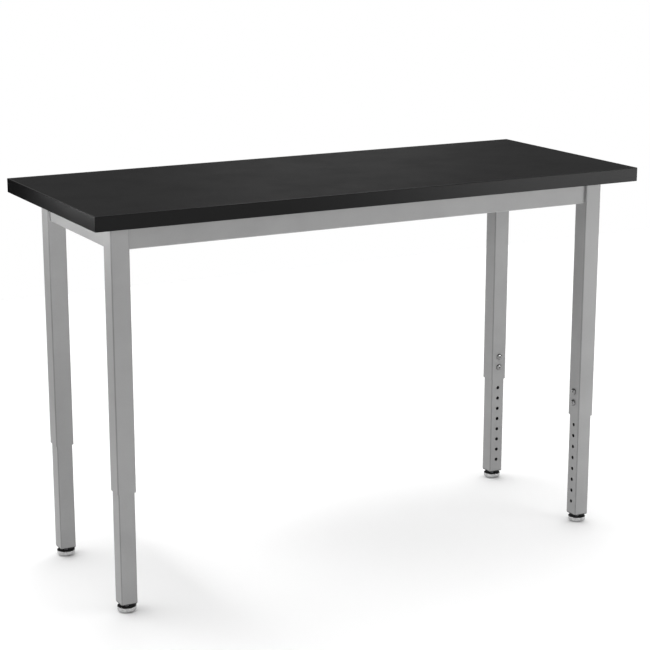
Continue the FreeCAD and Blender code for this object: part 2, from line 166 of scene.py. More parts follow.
class LabTableSizes(bpy.types.PropertyGroup):
    """Sizes of the screws, threads and welds."""

    leg_screw_head: length("Leg screw head", span("leg_screws_front_right", 1),
                           "Diameter of the pan head")
    leg_screw_crown: length("Leg screw head height", 0.0038, "Height of the pan head")
    leg_screw_side: length("Leg screw head side", 0.0015, "Straight side of the pan head")
    leg_screw_thread: length("Leg screw thread", 0.0060, "Outer diameter of the thread")
    leg_screw_pitch: length("Leg screw pitch", 0.00127, "Pitch of the thread")
    top_screw_head: length("Wood screw head", 0.0094, "Diameter of the pan head")
    top_screw_crown: length("Wood screw head height", 0.0032, "Height of the pan head")
    top_screw_side: length("Wood screw head side", 0.0012, "Straight side of the pan head")
    top_screw_thread: length("Wood screw thread", 0.0048, "Outer diameter of the thread")
    top_screw_pitch: length("Wood screw pitch", 0.0022, "Pitch of the thread")
    plate_hole_along: length("Plate hole along", 0.048, "Corner plate's screw hole along one rail")
    plate_hole_in: length("Plate hole in", 0.016, "Corner plate's screw hole in from that rail")
    stem_thread: length("Glide stem thread", 0.0079, "Outer diameter of the glide stem's thread")
    stem_pitch: length("Glide stem pitch", 0.0254 / 18, "Pitch of the glide stem's thread")
    stem_flange: length("Glide stem flange", 0.0025, "Thickness of the flange at the stem's foot")
    # Deeper into the leg holes than this, the colour is painted shade.
    coat_reach: length("Coat reach", 0.0001, "How far the powder coat reaches into the leg holes")
    corner_depth: length("Corner depth", 0.0009,
                         "How far the legs' round corners lie inside their flat faces")
    weld_bead: length("Weld bead", 0.0021, "Radius of the weld beads between rails and legs")
    weld_ripple: length("Weld ripple", 0.0017, "Distance between the ripples of a weld")


class LabTableColours(bpy.types.PropertyGroup):
    """Colours of the finishes."""

    laminate: colour("Laminate", (0.0070, 0.0070, 0.0071), "Black chemical-resistant laminate")
    edge_band: colour("Edge band", (0.0030, 0.0030, 0.0031), "Black edge band")
    backer: colour("Backing sheet", (0.030, 0.028, 0.026), "Sheet under the top")
    board: colour("Board", (0.42, 0.30, 0.18), "Particle board core")
    frame_paint: colour("Powder coat", (0.315, 0.315, 0.315), "Grey powder coat of the frame")
    # Near black: painted shade inside the leg tubes and their holes.
    bore_shade: colour("Bare steel", (0.006, 0.006, 0.006), "Dark steel inside the leg tubes")
    plating: colour("Screw plating", (0.24, 0.24, 0.24), "Bright plating of the leg screws")
    zinc: colour("Zinc", (0.55, 0.56, 0.58), "Zinc plating of stems, nuts and wood screws")
    chrome: colour("Glide plating", (0.64, 0.64, 0.64), "Bright plating of the glide cups")
    nylon: colour("Nylon", (0.012, 0.012, 0.012), "Black moulded leg inserts")
    rubber: colour("Rubber", (0.010, 0.010, 0.010), "Black cushions in the glide cups")
    floor: colour("Floor", (0.96, 0.96, 0.96), "Studio floor")


class LabTableStudio(bpy.types.PropertyGroup):
    """Light of the studio."""

    overhead: power("Overhead light", 3.2, "Wide soft light from above")
    left_panel: power("Left panel", 1.3, "Soft strip beside the table's left end, level with its top")
    band_panel: power("Band panel", 0.03,
                      "Small panel left of the table and behind it, which the left edge band reflects")
    low_panel: power("Low panel", 0.3, "Soft strip beside the table's left end, near the floor")
    right_panel: power("Right panel", 10.8, "Low soft panel in front of the table's right end")
    front_panel: power("Front panel", 29.5, "Broad soft panel in front of the table")
    under_panel: power("Under panel", 1.0, "Soft panel under the top, aimed at the right legs")
    back_panel: power("Back panel", 1.0, "Soft panel behind the table, which the top reflects")
    surround: power("Surround", 0.25, "Even light from all round, above the floor")


def sizes():
    """The sizes that a user may change."""
    return bpy.context.scene.lab_table_sizes


def colours():
    """The colours that a user may change."""
    return bpy.context.scene.lab_table_colours


def studio():
    """The strengths of the lights."""
    return bpy.context.scene.lab_table_studio


def deselect():
    """Leave nothing selected, in object mode."""
    if bpy.context.mode != "OBJECT":
        bpy.ops.object.mode_set(mode="OBJECT")
    bpy.ops.object.select_all(action="DESELECT")


def activate(*items):
    """Select only these objects and make the first one active."""
    deselect()
    for item in items:
        item.select_set(True)
    bpy.context.view_layer.objects.active = items[0]


def pick(item, kind, test):
    """In edit mode, select only the faces, edges or verts that pass a test."""
    modes = {"faces": "FACE", "edges": "EDGE", "verts": "VERT"}
    bpy.ops.mesh.select_mode(type=modes[kind])
    bpy.ops.mesh.select_all(action="DESELECT")
    shape = bmesh.from_edit_mesh(item.data)
    for part in getattr(shape, kind):
        if test(part):
            part.select_set(True)
    shape.select_flush_mode()
    bmesh.update_edit_mesh(item.data)


def level(part, height):
    """Whether all the corners of an edge or face lie at one height."""
    return all(abs(vert.co.z - height) < TINY for vert in part.verts)


def apply_modifier(item, kind, **settings):
    """Add a modifier with these settings and apply it."""
    activate(item)
    modifier = item.modifiers.new(kind.lower(), kind)
    for setting, value in settings.items():
        setattr(modifier, setting, value)
    bpy.ops.object.modifier_apply(modifier=modifier.name)


def tidy_shell(item):
    """Merge doubles, turn all faces outwards and shade the round parts smooth."""
    activate(item)
    bpy.ops.object.mode_set(mode="EDIT")
    bpy.ops.mesh.select_all(action="SELECT")
    bpy.ops.mesh.remove_doubles(threshold=MERGE_DISTANCE)
    bpy.ops.mesh.normals_make_consistent(inside=False)
    bpy.ops.object.mode_set(mode="OBJECT")
    bpy.ops.object.shade_smooth_by_angle(angle=SMOOTH_ANGLE)


def join(name, items):
    """Make several objects one."""
    activate(*items)
    if len(items) > 1:
        bpy.ops.object.join()
    items[0].name = name
    items[0].data.name = name
    return items[0]


def copy_to(template, matrix):
    """A copy of a template with its own mesh, stood at its place in that mesh."""
    copy = template.copy()
    copy.data = template.data.copy()
    copy.data.transform(matrix)
    bpy.context.scene.collection.objects.link(copy)
    return copy


def discard(item):
    """Remove a template and its mesh."""
    mesh = item.data
    bpy.data.objects.remove(item)
    bpy.data.meshes.remove(mesh)


def facing(place, direction, turn=0.0):
    """The matrix that stands a Z-axis piece at a place, facing one way and turned about itself."""
    tilt = Vector((0, 0, 1)).rotation_difference(direction).to_matrix().to_4x4()
    return Matrix.Translation(place) @ tilt @ Matrix.Rotation(turn, 4, "Z")


def settle(piece, body, slot, material, *nodes):
    """Finish a new piece: its material, the body that it rides on and the nodes that it stands for."""
    piece.data.materials.clear()
    piece.data.materials.append(material)
    if nodes:
        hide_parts(*nodes)
    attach(piece, body)


def cylinder(radius, low, high):
    """A cylinder on the Z axis between two heights, with its origin on the floor."""
    deselect()
    bpy.ops.mesh.primitive_cylinder_add(vertices=ROUND_SIDES, radius=radius, depth=high - low,
                                        location=(0, 0, (low + high) / 2))
    item = bpy.context.object
    bpy.ops.object.transform_apply(location=True, rotation=True, scale=True)
    return item


def thread_ridge(root, crest, pitch, low, high):
    """A closed helical ridge on the Z axis, from a three-sided loop turned along a screw."""
    turns = int((high - low) / pitch) - 1
    sink = (crest - root) / 4
    deselect()
    bpy.ops.mesh.primitive_circle_add(vertices=3, radius=1.0, fill_type="NOTHING")
    ridge = bpy.context.object
    # A triangle of radius 1 is 1.5 high, and half of its base is the cosine of 30 degrees.
    reach = (crest - root + sink) / 1.5
    half = pitch * RIDGE_HALF / math.cos(math.pi / 6)
    middle = root - sink + reach / 2
    ridge.data.transform(Matrix((
        (0, reach, 0, middle), (0, 0, 1, 0), (half, 0, 0, low + pitch / 2), (0, 0, 0, 1),
    )))
    apply_modifier(ridge, "SCREW", axis="Z", angle=math.tau, screw_offset=pitch, iterations=turns,
                   steps=THREAD_STEPS, render_steps=THREAD_STEPS, use_merge_vertices=False)
    bpy.ops.object.mode_set(mode="EDIT")
    bpy.ops.mesh.select_all(action="SELECT")
    bpy.ops.mesh.fill_holes(sides=3)
    bpy.ops.object.mode_set(mode="OBJECT")
    tidy_shell(ridge)
    return ridge


def cut_cross(screw, top, wing, width, depth):
    """Cut a tapered cross recess down into a screw's head."""
    deselect()
    bpy.ops.mesh.primitive_cube_add(size=1.0, location=(0, 0, 0))
    blade = bpy.context.object
    bpy.ops.object.mode_set(mode="EDIT")
    bpy.ops.mesh.select_all(action="SELECT")
    bpy.ops.transform.resize(value=(wing, width, 2 * depth))
    pick(blade, "faces", lambda face: face.normal.z < -UPRIGHT)
    bpy.ops.transform.resize(value=CROSS_TAPER)
    bpy.ops.mesh.select_all(action="SELECT")
    bpy.ops.transform.translate(value=(0, 0, top))
    bpy.ops.object.mode_set(mode="OBJECT")
    for _ in range(2):
        apply_modifier(screw, "BOOLEAN", operation="DIFFERENCE", object=blade, solver="EXACT")
        blade.data.transform(Matrix.Rotation(math.pi / 2, 4, "Z"))
    discard(blade)


def raise_dome(height):
    """Raise the selected round face into an elliptic dome, ring by ring."""
    angles = [DOME_END * ring / DOME_RINGS for ring in range(DOME_RINGS + 1)]
    for last, angle in zip(angles, angles[1:]):
        rise = height * (math.sin(angle) - math.sin(last))
        shrink = math.cos(angle) / math.cos(last)
        bpy.ops.mesh.extrude_region_move(TRANSFORM_OT_translate={"value": (0, 0, rise)})
        bpy.ops.transform.resize(value=(shrink, shrink, 1.0))


def pan_screw(head, crown, side, thread, pitch, reach, pointed):
    """A cross-recessed pan head screw on the Z axis, tip down, with its head's seat at the origin."""
    root = thread * SCREW_ROOT
    tip_share, tip_width = SHARP_TIP if pointed else BLUNT_TIP
    tip = tip_share * reach
    screw = cylinder(head / 2, 0.0, side)
    bpy.ops.object.mode_set(mode="EDIT")
    pick(screw, "faces", lambda face: face.normal.z > UPRIGHT)
    raise_dome(crown - side)
    pick(screw, "edges", lambda edge: level(edge, 0.0))
    bpy.ops.mesh.bevel(offset=HEAD_EASE, segments=1, affect="EDGES")
    pick(screw, "faces", lambda face: face.normal.z < -UPRIGHT and level(face, 0.0))
    bpy.ops.mesh.inset(thickness=head / 2 - HEAD_EASE - root, use_even_offset=True)
    bpy.ops.mesh.extrude_region_move(TRANSFORM_OT_translate={"value": (0, 0, tip - reach)})
    bpy.ops.mesh.extrude_region_move(TRANSFORM_OT_translate={"value": (0, 0, -tip)})
    bpy.ops.transform.resize(value=(tip_width, tip_width, 1.0))
    bpy.ops.object.mode_set(mode="OBJECT")
    tidy_shell(screw)
    cut_cross(screw, crown, head * CROSS_WING, head * CROSS_WIDTH, crown * CROSS_DEPTH)
    tidy_shell(screw)
    ridge = thread_ridge(root, thread / 2, pitch, tip - reach, 0.0)
    return join("pan_screw", [screw, ridge])


def weld_run(run, radius, ripple):
    """A rippled weld bead along the Z axis, centred on the origin."""
    waves = max(WELD_RIPPLES, int(run / ripple))
    bpy.ops.mesh.primitive_cylinder_add(vertices=WELD_SIDES, radius=radius, depth=run,
                                        location=(0, 0, 0))
    bead = bpy.context.object
    bpy.ops.object.mode_set(mode="EDIT")
    pick(bead, "edges", lambda edge: abs(edge.verts[0].co.z - edge.verts[1].co.z) > run / 2)
    bpy.ops.mesh.subdivide(number_cuts=2 * waves - 1)
    step = run / (2 * waves)
    pick(bead, "verts", lambda vert: round((vert.co.z + run / 2) / step) % 2 == 1)
    bpy.ops.transform.resize(value=(WELD_SWELL, WELD_SWELL, 1.0))
    pick(bead, "verts", lambda vert: abs(vert.co.z) > run / 2 - TINY)
    bpy.ops.transform.resize(value=(WELD_END, WELD_END, 1.0))
    bpy.ops.object.mode_set(mode="OBJECT")
    apply_modifier(bead, "SUBSURF", levels=1, render_levels=1)
    tidy_shell(bead)
    return bead


def new_group(name, inputs, outputs):
    """A new shader node group with its sockets, and the nodes for its inputs and outputs."""
    group = bpy.data.node_groups.new(name, "ShaderNodeTree")
    for socket, value in inputs.items():
        made = group.interface.new_socket(socket, in_out="INPUT", socket_type="NodeSocketFloat")
        made.default_value = value
    for socket in outputs:
        group.interface.new_socket(socket, in_out="OUTPUT", socket_type="NodeSocketFloat")
    return group, group.nodes.new("NodeGroupInput"), group.nodes.new("NodeGroupOutput")


def noise_node(tree, source, scale, detail, roughness=0.55):
    """The value of a noise texture on a socket's coordinates, with its scale from another socket."""
    node = tree.nodes.new("ShaderNodeTexNoise")
    node.inputs["Detail"].default_value = detail
    node.inputs["Roughness"].default_value = roughness
    tree.links.new(source, node.inputs["Vector"])
    tree.links.new(scale, node.inputs["Scale"])
    return node.outputs["Fac"]


def math_node(tree, operation, first, second=None):
    """The result of a math node on one or two sockets or numbers."""
    node = tree.nodes.new("ShaderNodeMath")
    node.operation = operation
    for index, value in enumerate((first, second)):
        if value is None:
            continue
        if isinstance(value, (int, float)):
            node.inputs[index].default_value = value
        else:
            tree.links.new(value, node.inputs[index])
    return node.outputs[0]


def map_node(tree, value, from_low, from_high, to_low=0.0, to_high=1.0):
    """A clamped change of range."""
    node = tree.nodes.new("ShaderNodeMapRange")
    tree.links.new(value, node.inputs["Value"])
    for name, number in (("From Min", from_low), ("From Max", from_high),
                         ("To Min", to_low), ("To Max", to_high)):
        node.inputs[name].default_value = number
    return node.outputs["Result"]


def grain_group():
    """Fine grain and broad mottling, as moulded and coated surfaces show."""
    if "Grain" in bpy.data.node_groups:
        return bpy.data.node_groups["Grain"]
    inputs = {"Grain size": 0.001, "Mottle size": 0.08}
    group, entry, leave = new_group("Grain", inputs, ("Grain", "Mottle"))
    place = group.nodes.new("ShaderNodeTexCoord").outputs["Object"]
    for index, (label, detail) in enumerate((("Grain", 2.0), ("Mottle", 3.0))):
        scale = math_node(group, "DIVIDE", 1.0, entry.outputs[index])
        noise = noise_node(group, place, scale, detail)
        group.links.new(map_node(group, noise, from_low=0.3, from_high=0.7), leave.inputs[label])
    return group


def edge_group():
    """A mask that is strongest on sharp and rounded edges."""
    if "Edges" in bpy.data.node_groups:
        return bpy.data.node_groups["Edges"]
    group, entry, leave = new_group("Edges", {"Width": 0.002}, ("Edges",))
    bevel = group.nodes.new("ShaderNodeBevel")
    bevel.samples = 6
    group.links.new(entry.outputs["Width"], bevel.inputs["Radius"])
    flat = group.nodes.new("ShaderNodeNewGeometry").outputs["Normal"]
    dot = group.nodes.new("ShaderNodeVectorMath")
    dot.operation = "DOT_PRODUCT"
    group.links.new(bevel.outputs["Normal"], dot.inputs[0])
    group.links.new(flat, dot.inputs[1])
    bent = map_node(group, dot.outputs["Value"], from_low=0.995, from_high=0.80)
    group.links.new(bent, leave.inputs["Edges"])
    return group


def corner_group():
    """A mask that is strongest along the middle of round upright corners."""
    if "Corners" in bpy.data.node_groups:
        return bpy.data.node_groups["Corners"]
    group, entry, leave = new_group("Corners", {"Sharpness": 2.0}, ("Corners",))
    split = group.nodes.new("ShaderNodeSeparateXYZ")
    group.links.new(group.nodes.new("ShaderNodeTexCoord").outputs["Normal"], split.inputs["Vector"])
    both = math_node(group, "MULTIPLY", split.outputs["X"], split.outputs["Y"])
    # The product is a half where the normal points midway between X and Y, so it is doubled.
    share = math_node(group, "MULTIPLY", math_node(group, "ABSOLUTE", both), 2.0)
    mask = math_node(group, "POWER", share, entry.outputs["Sharpness"])
    group.links.new(mask, leave.inputs["Corners"])
    return group


def scuff_group():
    """Sparse fine scratches and soft smudges from handling."""
    if "Scuffs" in bpy.data.node_groups:
        return bpy.data.node_groups["Scuffs"]
    group, entry, leave = new_group("Scuffs", {"Spacing": 0.05}, ("Scratches", "Smudges"))
    place = group.nodes.new("ShaderNodeTexCoord").outputs["Object"]
    stretch = group.nodes.new("ShaderNodeMapping")
    stretch.inputs["Rotation"].default_value = (0.0, 0.0, 0.5)
    stretch.inputs["Scale"].default_value = (1.0, 14.0, 1.0)
    group.links.new(place, stretch.inputs["Vector"])
    scale = math_node(group, "DIVIDE", 1.0, entry.outputs["Spacing"])
    lines = noise_node(group, stretch.outputs["Vector"], scale, detail=6.0, roughness=0.7)
    group.links.new(map_node(group, lines, from_low=0.66, from_high=0.74), leave.inputs["Scratches"])
    clouds = noise_node(group, place, scale, detail=4.0)
    group.links.new(map_node(group, clouds, from_low=0.45, from_high=0.75), leave.inputs["Smudges"])
    return group


def bore_group():
    """A mask of the surfaces inside the four upright leg tubes, which stand alike about the middle."""
    if "Leg bores" in bpy.data.node_groups:
        return bpy.data.node_groups["Leg bores"]
    inputs = {"Axis x": 0.5, "Axis y": 0.2, "Half": 0.015, "Corner depth": 0.001}
    group, entry, leave = new_group("Leg bores", inputs, ("Inside",))
    split = group.nodes.new("ShaderNodeSeparateXYZ")
    group.links.new(group.nodes.new("ShaderNodeTexCoord").outputs["Object"], split.inputs["Vector"])
    ways = []
    for place, axis in (("X", "Axis x"), ("Y", "Axis y")):
        out = math_node(group, "ABSOLUTE", split.outputs[place])
        off = math_node(group, "SUBTRACT", out, entry.outputs[axis])
        ways.append(math_node(group, "ABSOLUTE", off))
    corners = group.nodes.new("ShaderNodeGroup")
    corners.node_tree = corner_group()
    corners.inputs["Sharpness"].default_value = 1.0
    round_part = math_node(group, "GREATER_THAN", corners.outputs["Corners"], ROUND_CORNER)
    depth = math_node(group, "MULTIPLY", round_part, entry.outputs["Corner depth"])
    limit = math_node(group, "SUBTRACT", entry.outputs["Half"], depth)
    inside = math_node(group, "LESS_THAN", math_node(group, "MAXIMUM", *ways), limit)
    group.links.new(inside, leave.inputs["Inside"])
    return group


class Finish:
    """One material in the making: its shader and the node groups placed in it."""

    def __init__(self, name):
        self.material = bpy.data.materials.new(name)
        self.material.use_nodes = True
        self.tree = self.material.node_tree
        self.shader = self.tree.nodes["Principled BSDF"]

    def set(self, **values):
        """Set numbers and colours that are the same all over."""
        for name, value in values.items():
            socket = name.replace("_", " ").title().replace("Ior", "IOR")
            self.shader.inputs[socket].default_value = value

    def group(self, group, **values):
        """Place a node group with these values, and return its outputs."""
        node = self.tree.nodes.new("ShaderNodeGroup")
        node.node_tree = group
        for name, value in values.items():
            node.inputs[name.replace("_", " ").capitalize()].default_value = value
        return node.outputs

    def shade(self, mask, first, second):
        """Colour the surface between two colours by a mask."""
        ramp = self.tree.nodes.new("ShaderNodeValToRGB")
        ramp.color_ramp.elements[0].color = (*first, 1.0)
        ramp.color_ramp.elements[1].color = (*second, 1.0)
        self.tree.links.new(mask, ramp.inputs["Fac"])
        self.tree.links.new(ramp.outputs["Color"], self.shader.inputs["Base Color"])

    def cover(self, mask, colour):
        """Lay another colour over the surface where a mask is set."""
        base = self.shader.inputs["Base Color"]
        blend = self.tree.nodes.new("ShaderNodeMix")
        blend.data_type = "RGBA"
        self.tree.links.new(mask, blend.inputs["Factor"])
        self.tree.links.new(base.links[0].from_socket, blend.inputs["A"])
        blend.inputs["B"].default_value = (*colour, 1.0)
        self.tree.links.new(blend.outputs["Result"], base)

    def vary(self, socket, mask, low, high):
        """Let a mask move a shader's number between two values."""
        number = map_node(self.tree, mask, 0.0, 1.0, low, high)
        self.tree.links.new(number, self.shader.inputs[socket])

    def mix(self, first, second, share):
        """A mask made of two others, the second one weighted by a share."""
        return math_node(self.tree, "ADD", math_node(self.tree, "MULTIPLY", first, 1.0 - share),
                         math_node(self.tree, "MULTIPLY", second, share))

    def bump(self, height, strength, distance):
        """Roughen the surface by a height mask."""
        node = self.tree.nodes.new("ShaderNodeBump")
        node.inputs["Strength"].default_value = strength
        node.inputs["Distance"].default_value = distance
        self.tree.links.new(height, node.inputs["Height"])
        self.tree.links.new(node.outputs["Normal"], self.shader.inputs["Normal"])


def tint(base, factor):
    """A lighter or darker form of a colour."""
    return tuple(min(1.0, part * factor) for part in base)


def made_once(name, build):
    """The material of that name, built if it isn't there yet."""
    if name in bpy.data.materials:
        return bpy.data.materials[name]
    finish = Finish(name)
    build(finish)
    return finish.material


def laminate_finish(finish):
    """Satin black laminate with a fine pebble and faint scuffs."""
    base = colours().laminate
    grain = finish.group(grain_group(), grain_size=0.0011, mottle_size=0.16)
    scuffs = finish.group(scuff_group(), spacing=0.09)
    tone = finish.mix(grain["Mottle"], scuffs["Scratches"], share=0.3)
    finish.shade(tone, tint(base, 0.88), tint(base, 1.2))
    worn = finish.mix(grain["Mottle"], scuffs["Smudges"], share=0.5)
    finish.vary("Roughness", worn, low=0.46, high=0.53)
    finish.set(specular_ior_level=0.095)
    finish.bump(grain["Grain"], strength=0.22, distance=0.0003)


def band_finish(finish):
    """Black edge band, a little smoother than the laminate, paler along its arris."""
    base = colours().edge_band
    grain = finish.group(grain_group(), grain_size=0.0016, mottle_size=0.25)
    edges = finish.group(edge_group(), width=0.0012)
    tone = finish.mix(grain["Mottle"], edges["Edges"], share=0.4)
    finish.shade(tone, tint(base, 0.85), tint(base, 1.5))
    finish.vary("Roughness", grain["Mottle"], low=0.28, high=0.30)
    finish.set(specular_ior_level=0.13)
    finish.bump(grain["Grain"], strength=0.08, distance=0.0002)


def backer_finish(finish):
    """Dark matt backing sheet with a papery mottle."""
    base = colours().backer
    grain = finish.group(grain_group(), grain_size=0.003, mottle_size=0.03)
    tone = finish.mix(grain["Mottle"], grain["Grain"], share=0.5)
    finish.shade(tone, tint(base, 0.75), tint(base, 1.25))
    finish.vary("Roughness", grain["Mottle"], low=0.62, high=0.78)
    finish.bump(grain["Grain"], strength=0.2, distance=0.0003)


def board_finish(finish):
    """Particle board: pressed chips of several tones."""
    base = colours().board
    grain = finish.group(grain_group(), grain_size=0.0022, mottle_size=0.009)
    tone = finish.mix(grain["Grain"], grain["Mottle"], share=0.45)
    finish.shade(tone, tint(base, 0.5), tint(base, 1.25))
    finish.vary("Roughness", grain["Grain"], low=0.75, high=0.95)
    finish.bump(grain["Grain"], strength=0.5, distance=0.0008)


def paint_finish(finish):
    """Grey powder coat with fine orange peel, and painted shade along the round tube corners."""
    base = colours().frame_paint
    grain = finish.group(grain_group(), grain_size=0.0016, mottle_size=0.12)
    corners = finish.group(corner_group(), sharpness=1.6)
    cloud = finish.mix(grain["Mottle"], grain["Grain"], share=0.3)
    # Painted shade: the colour darkens along the round corners of the tubes.
    corner_shade = math_node(finish.tree, "MULTIPLY", corners["Corners"], 1.6)
    tone = math_node(finish.tree, "SUBTRACT", cloud, corner_shade)
    coat = map_node(finish.tree, tone, from_low=-2.0, from_high=1.0)
    finish.shade(coat, tint(base, 0.55), tint(base, 1.09))
    peel = finish.mix(grain["Grain"], grain["Mottle"], share=0.5)
    finish.vary("Roughness", peel, low=0.40, high=0.52)
    finish.set(specular_ior_level=0.3)
    finish.bump(grain["Grain"], strength=0.16, distance=0.0003)


def leg_finish(finish):
    """Grey powder coat outside the lower legs, and near-black painted shade in their bores and holes."""
    paint_finish(finish)
    low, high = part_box("lower_leg_front_right")
    half = (high.x - low.x) / 2 - sizes().coat_reach
    axis_x = abs(low.x + high.x) / 2
    axis_y = abs(low.y + high.y) / 2
    bores = finish.group(bore_group(), axis_x=axis_x, axis_y=axis_y, half=half,
                         corner_depth=sizes().corner_depth)
    # Painted shade: near black inside the leg tubes and their holes.
    finish.cover(bores["Inside"], colours().bore_shade)


def metal_finish(base, dull, smooth, rough, grain_size, mottle_size, strength):
    """A plated metal that differs a little over its surface."""
    def build(finish):
        grain = finish.group(grain_group(), grain_size=grain_size, mottle_size=mottle_size)
        scuffs = finish.group(scuff_group(), spacing=0.006)
        tone = finish.mix(grain["Mottle"], scuffs["Smudges"], share=0.5)
        finish.shade(tone, base, tint(base, dull))
        worn = finish.mix(grain["Mottle"], scuffs["Scratches"], share=0.5)
        finish.vary("Roughness", worn, smooth, rough)
        finish.set(metallic=1.0)
        finish.bump(grain["Grain"], strength, distance=0.0001)
    return build


def soft_finish(base, smooth, rough, grain_size, strength):
    """A black moulded nylon or rubber."""
    def build(finish):
        grain = finish.group(grain_group(), grain_size=grain_size, mottle_size=0.01)
        tone = finish.mix(grain["Mottle"], grain["Grain"], share=0.4)
        finish.shade(tone, tint(base, 0.7), tint(base, 1.5))
        finish.vary("Roughness", grain["Mottle"], smooth, rough)
        finish.bump(grain["Grain"], strength, distance=0.0002)
    return build


def floor_finish(finish):
    """Pale studio floor, almost even."""
    base = colours().floor
    grain = finish.group(grain_group(), grain_size=0.01, mottle_size=0.9)
    finish.shade(grain["Mottle"], tint(base, 0.995), base)
    finish.set(roughness=0.9, specular_ior_level=0.1)


def paint():
    return made_once("powder_coat_grey", paint_finish)


def leg_paint():
    return made_once("powder_coat_leg", leg_finish)


def plating():
    return made_once("screw_plating", metal_finish(
        colours().plating, dull=0.8, smooth=0.10, rough=0.20, grain_size=0.0006, mottle_size=0.008,
        strength=0.1))


def zinc():
    return made_once("zinc_plating", metal_finish(
        colours().zinc, dull=0.72, smooth=0.28, rough=0.45, grain_size=0.0009, mottle_size=0.008,
        strength=0.15))


def chrome():
    return made_once("glide_plating", metal_finish(
        colours().chrome, dull=0.42, smooth=0.08, rough=0.22, grain_size=0.0014, mottle_size=0.0045,
        strength=0.12))


def nylon():
    return made_once("black_nylon", soft_finish(
        colours().nylon, smooth=0.42, rough=0.55, grain_size=0.0008, strength=0.2))


def rubber():
    return made_once("black_rubber", soft_finish(
        colours().rubber, smooth=0.7, rough=0.85, grain_size=0.0006, strength=0.3))


def dress(material, *nodes):
    """Give CAD nodes their finish."""
    for node in nodes:
        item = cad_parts[node]
        if not item.material_slots:
            item.data.materials.append(material)
        for holder in item.material_slots:
            holder.material = material


class LABTABLE_OT_top(bpy.types.Operator):
    """Finish the laminate, edge bands, backing sheet and core of the top"""

    bl_idname = "labtable.top"
    bl_label = "Finish Top"

    def execute(self, context):
        dress(made_once("laminate_black", laminate_finish), "top_laminate")
        bands = ["edge_band_" + side for side in ("front", "back", "left", "right")]
        dress(made_once("edge_band_black", band_finish), *bands)
        dress(made_once("backing_sheet", backer_finish), "top_backer")
        dress(made_once("particle_board", board_finish), "top_core")
        return {"FINISHED"}


class LABTABLE_OT_frame(bpy.types.Operator):
    """Powder coat the rails, legs and corner plates"""

    bl_idname = "labtable.frame"
    bl_label = "Finish Frame"

    def execute(self, context):
        dress(paint(), *RAILS)
        for corner in CORNERS:
            dress(paint(), "upper_leg_" + corner, "corner_plate_" + corner)
            dress(leg_paint(), "lower_leg_" + corner)
        return {"FINISHED"}


class LABTABLE_OT_welds(bpy.types.Operator):
    """Weld the ends of the rails to the legs, below and on the inside"""

    bl_idname = "labtable.welds"
    bl_label = "Add Welds"

    def execute(self, context):
        for rail, (along, inward) in RAILS.items():
            low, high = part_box(rail)
            middle = (low + high) / 2
            width = abs((high - low).dot(inward))
            height = span(rail, 2)
            reach = abs((high - low).dot(along)) / 2
            bottom = weld_run(width * WELD_BELOW, sizes().weld_bead, sizes().weld_ripple)
            inside = weld_run(height * WELD_INSIDE, sizes().weld_bead, sizes().weld_ripple)
            for side, end in ((-1, "start"), (1, "end")):
                seam = middle + along * side * reach
                below = facing(seam - Vector((0, 0, height / 2)), inward)
                within = Matrix.Translation(seam + inward * width / 2)
                beads = [copy_to(bottom, below), copy_to(inside, within)]
                weld = join("weld_%s_%s" % (rail, end), beads)
                settle(weld, "frame", "frame_paint", paint())
            discard(bottom)
            discard(inside)
        return {"FINISHED"}


class LABTABLE_OT_leg_screws(bpy.types.Operator):
    """Make the plated screws that hold the lower legs"""

    bl_idname = "labtable.leg_screws"
    bl_label = "Make Leg Screws"

    def execute(self, context):
        own = sizes()
        reach = span("leg_screws_front_right", 0) - own.leg_screw_crown
        template = pan_screw(own.leg_screw_head, own.leg_screw_crown, own.leg_screw_side,
                             own.leg_screw_thread, own.leg_screw_pitch, reach, pointed=False)
        turns = iter(SCREW_TURNS)
        for corner, (_, _, outward) in CORNERS.items():
            node = "leg_screws_" + corner
            low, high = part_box(node)
            centre = (low + high) / 2
            seat = centre + outward * (abs((high - low).dot(outward)) / 2 - own.leg_screw_crown)
            copies = []
            for height in (low.z + own.leg_screw_head / 2, high.z - own.leg_screw_head / 2):
                place = Vector((seat.x, seat.y, height))
                copies.append(copy_to(template, facing(place, outward, math.radians(next(turns)))))
            settle(join("screws_" + corner, copies), "frame", "plated_screw", plating(), node)
        discard(template)
        return {"FINISHED"}


class LABTABLE_OT_top_screws(bpy.types.Operator):
    """Make the wood screws that hold the top to the corner plates"""

    bl_idname = "labtable.top_screws"
    bl_label = "Make Wood Screws"

    def execute(self, context):
        own = sizes()
        low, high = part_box("top_screws")
        seat = low.z + own.top_screw_crown
        template = pan_screw(own.top_screw_head, own.top_screw_crown, own.top_screw_side,
                             own.top_screw_thread, own.top_screw_pitch, high.z - seat, pointed=True)
        holes = ((own.plate_hole_along, own.plate_hole_in), (own.plate_hole_in, own.plate_hole_along))
        turns = iter(SCREW_TURNS)
        copies = []
        for corner, (side_x, side_y, _) in CORNERS.items():
            plate_low, plate_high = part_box("corner_plate_" + corner)
            edge_x = max(abs(plate_low.x), abs(plate_high.x))
            edge_y = max(abs(plate_low.y), abs(plate_high.y))
            for along, across in holes:
                place = Vector((side_x * (edge_x - along), side_y * (edge_y - across), seat))
                turn = math.radians(next(turns))
                copies.append(copy_to(template, facing(place, Vector((0, 0, -1)), turn)))
        settle(join("wood_screws", copies), "frame", "zinc_steel", zinc(), "top_screws")
        discard(template)
        return {"FINISHED"}


